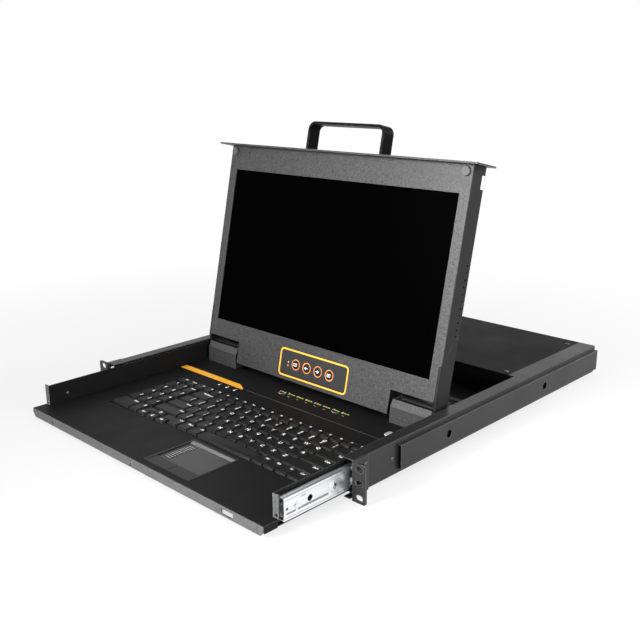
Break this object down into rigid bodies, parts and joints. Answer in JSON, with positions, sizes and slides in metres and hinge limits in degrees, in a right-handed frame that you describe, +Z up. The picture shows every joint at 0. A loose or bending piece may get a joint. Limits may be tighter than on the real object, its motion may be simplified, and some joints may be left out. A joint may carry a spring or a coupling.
{
  "type": "rackmount lcd console drawer",
  "caption": "One-unit rack drawer with keyboard, touchpad and a fold-up screen on ball slides, with a bow handle and a rear bay",
  "frame": {"origin": "centre of the rack bolt pattern, on the front face of the two ears", "axes": "+X to the user's right, +Y to the back of the rack, +Z up; the drawer slides out along -Y"},
  "size_m": [0.4826, 0.6375, 0.3587],
  "materials": {
    "chassis_coat": "fine textured dark grey powder coat",
    "drawer_coat": "fine textured black powder coat",
    "slide_steel": "bright zinc plate",
    "ball_steel": "polished",
    "cage_steel": "plain stamped sheet",
    "screw_steel": "zinc plate",
    "key_plastic": "satin black",
    "base_plastic": "black",
    "pad_plastic": "satin dark grey",
    "cover_coat": "textured grey",
    "hinge_steel": "plain",
    "lamp": "translucent",
    "catch_steel": "satin",
    "screen_coat": "speckled charcoal",
    "screen_face": "dark screen",
    "rubber_black": "soft",
    "orange_print": "printed",
    "board_green": "lacquered board",
    "supply_metal": "folded sheet case",
    "socket_plastic": "black",
    "port_shell": "socket bodies",
    "button_plastic": "black"
  },
  "bodies": {
    "chassis": {"chassis_shell": "chassis_coat", "rear_cover": "chassis_coat", "bay_bulkhead": "chassis_coat", "ear_left": "chassis_coat", "ear_right": "chassis_coat", "side_rail_left": "chassis_coat", "side_rail_right": "chassis_coat", "slide_outer_left": "slide_steel", "slide_outer_right": "slide_steel", "switch_board": "board_green", "rear_ports": "port_shell", "power_supply": "supply_metal", "power_inlet": "socket_plastic", "rocker_frame": "socket_plastic", "chassis_screws": "screw_steel"},
    "drawer": {"drawer_tray": "drawer_coat", "deck_plate": "drawer_coat", "slide_inner_left": "slide_steel", "slide_inner_right": "slide_steel", "drawer_screws": "screw_steel", "keyboard_base": "base_plastic", "touchpad_frame": "pad_plastic", "touchpad_surface": "pad_plastic", "hinge_cover_left": "cover_coat", "hinge_cover_right": "cover_coat", "hinge_barrel_left": "hinge_steel", "hinge_barrel_right": "hinge_steel", "status_lamps": "lamp", "catch_plate": "catch_steel"},
    "lcd": {"lcd_bezel": "screen_coat", "lcd_back_shell": "screen_coat", "lcd_panel": "screen_face", "controller_board": "board_green", "lcd_arm_left": "drawer_coat", "lcd_arm_right": "drawer_coat", "front_panel": "screen_coat", "handle": "drawer_coat", "bumpers": "rubber_black", "osd_trim": "orange_print", "osd_lamps": "lamp"},
    "slide_middle": {"slide_middle_left": "slide_steel", "slide_middle_right": "slide_steel"},
    "outer_cages": {"cage_outer": "cage_steel", "balls_outer": "ball_steel"},
    "inner_cages": {"cage_inner": "cage_steel", "balls_inner": "ball_steel"},
    "rocker": {"power_rocker": "socket_plastic"},
    "main_keys": {"keys_main": "key_plastic"},
    "enter_key": {"key_enter": "key_plastic"},
    "space_key": {"key_space": "key_plastic"},
    "function_keys": {"keys_function": "key_plastic"},
    "pad_keys": {"keys_pad": "key_plastic"},
    "arrow_keys": {"keys_arrow": "key_plastic"},
    "pad_button_left": {"touchpad_button_left": "pad_plastic"},
    "pad_button_right": {"touchpad_button_right": "pad_plastic"},
    "front_latch": {"latch_pin": "catch_steel"},
    "screen_button_1": {"osd_button_1": "button_plastic"},
    "screen_button_2": {"osd_button_2": "button_plastic"},
    "screen_button_3": {"osd_button_3": "button_plastic"},
    "screen_button_4": {"osd_button_4": "button_plastic"}
  },
  "joints": [
    {"name": "middle_slide", "type": "slide", "parent": "chassis", "child": "slide_middle", "axis": [0, -1, 0], "range_m": [-0.116, 0.15]},
    {"name": "drawer_slide", "type": "slide", "parent": "slide_middle", "child": "drawer", "axis": [0, -1, 0], "range_m": [0, 0.17]},
    {"name": "outer_cage_slide", "type": "slide", "parent": "chassis", "child": "outer_cages", "axis": [0, -1, 0], "range_m": [-0.058, 0.075]},
    {"name": "inner_cage_slide", "type": "slide", "parent": "slide_middle", "child": "inner_cages", "axis": [0, -1, 0], "range_m": [0, 0.085]},
    {"name": "lcd_hinge", "type": "hinge", "parent": "drawer", "child": "lcd", "pos_m": [0, 0.1737, 0.0108], "axis": [1, 0, 0], "range_deg": [-18, 102.24]},
    {"name": "rocker_tilt", "type": "hinge", "parent": "chassis", "child": "rocker", "pos_m": [0.182, 0.5153, 0.0018], "axis": [1, 0, 0], "range_deg": [0, 8]},
    {"name": "front_latch_slide", "type": "slide", "parent": "lcd", "child": "front_latch", "axis": [1, 0, 0], "range_m": [0, 0.006], "stiffness_N_per_m": 400, "springref_m": -0.002},
    {"name": "main_keys_press", "type": "slide", "parent": "drawer", "child": "main_keys", "axis": [0, 0, -1], "range_m": [0, 0.002], "stiffness_N_per_m": 900, "springref_m": -0.0005},
    {"name": "enter_key_press", "type": "slide", "parent": "drawer", "child": "enter_key", "axis": [0, 0, -1], "range_m": [0, 0.002], "stiffness_N_per_m": 60, "springref_m": -0.0005},
    {"name": "space_key_press", "type": "slide", "parent": "drawer", "child": "space_key", "axis": [0, 0, -1], "range_m": [0, 0.002], "stiffness_N_per_m": 60, "springref_m": -0.0005},
    {"name": "function_keys_press", "type": "slide", "parent": "drawer", "child": "function_keys", "axis": [0, 0, -1], "range_m": [0, 0.002], "stiffness_N_per_m": 400, "springref_m": -0.0005},
    {"name": "pad_keys_press", "type": "slide", "parent": "drawer", "child": "pad_keys", "axis": [0, 0, -1], "range_m": [0, 0.002], "stiffness_N_per_m": 350, "springref_m": -0.0005},
    {"name": "arrow_keys_press", "type": "slide", "parent": "drawer", "child": "arrow_keys", "axis": [0, 0, -1], "range_m": [0, 0.002], "stiffness_N_per_m": 150, "springref_m": -0.0005},
    {"name": "pad_button_left_press", "type": "slide", "parent": "drawer", "child": "pad_button_left", "axis": [0, 0, -1], "range_m": [0, 0.001], "stiffness_N_per_m": 300, "springref_m": -0.0005},
    {"name": "pad_button_right_press", "type": "slide", "parent": "drawer", "child": "pad_button_right", "axis": [0, 0, -1], "range_m": [0, 0.001], "stiffness_N_per_m": 300, "springref_m": -0.0005},
    {"name": "screen_button_1_press", "type": "slide", "parent": "lcd", "child": "screen_button_1", "axis": [0, 0.9773, -0.212], "range_m": [0, 0.001], "stiffness_N_per_m": 300, "springref_m": -0.0005},
    {"name": "screen_button_2_press", "type": "slide", "parent": "lcd", "child": "screen_button_2", "axis": [0, 0.9773, -0.212], "range_m": [0, 0.001], "stiffness_N_per_m": 300, "springref_m": -0.0005},
    {"name": "screen_button_3_press", "type": "slide", "parent": "lcd", "child": "screen_button_3", "axis": [0, 0.9773, -0.212], "range_m": [0, 0.001], "stiffness_N_per_m": 300, "springref_m": -0.0005},
    {"name": "screen_button_4_press", "type": "slide", "parent": "lcd", "child": "screen_button_4", "axis": [0, 0.9773, -0.212], "range_m": [0, 0.001], "stiffness_N_per_m": 300, "springref_m": -0.0005}
  ],
  "couplings": [
    {"joint": "outer_cage_slide", "follows": "middle_slide", "ratio": 0.5},
    {"joint": "inner_cage_slide", "follows": "drawer_slide", "ratio": 0.5}
  ]
}
